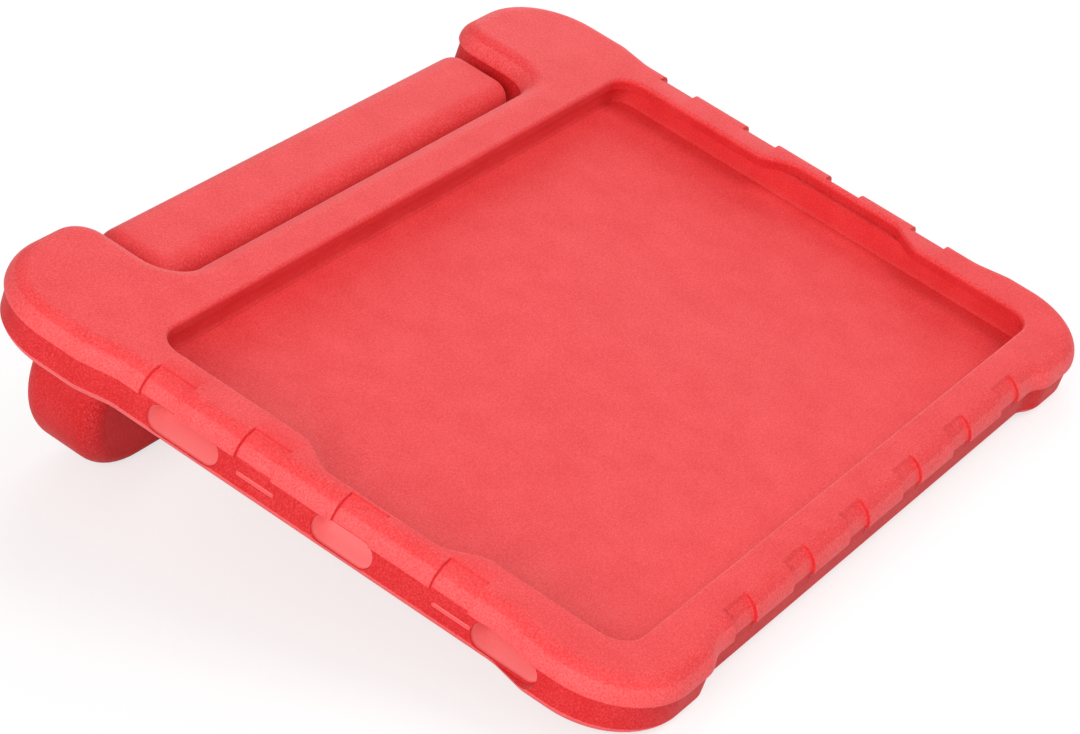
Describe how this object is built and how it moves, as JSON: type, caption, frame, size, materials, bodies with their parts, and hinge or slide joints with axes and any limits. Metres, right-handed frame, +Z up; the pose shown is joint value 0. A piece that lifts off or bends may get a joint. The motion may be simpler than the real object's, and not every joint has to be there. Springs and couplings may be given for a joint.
{
  "type": "tablet case",
  "caption": "Chunky foam case for a 10.1 inch tablet, with corner bumpers and a carry handle that folds back as a stand.",
  "frame": {"origin": "middle of the base of the bounding box, on the surface the case rests on", "axes": "+X along the case's long side, towards the side with no cut-outs; +Y towards the handle; +Z up. The front of the case faces up and towards -Y, tilted 17.5 degrees."},
  "size_m": [0.2724, 0.2156, 0.0765],
  "materials": {
    "red_foam": "matt, fine grained closed-cell foam",
    "dark_red_plastic": "plain moulded"
  },
  "bodies": {
    "case": {"case_body": "red_foam", "hinge_pin_left": "dark_red_plastic", "hinge_pin_right": "dark_red_plastic"},
    "handle": {"stand_handle": "red_foam"}
  },
  "joints": [
    {"name": "handle_hinge", "type": "hinge", "parent": "case", "child": "handle", "pos_m": [0, 0.07871, 0.0617], "axis": [1, 0, 0], "range_deg": [-10, 90]}
  ]
}
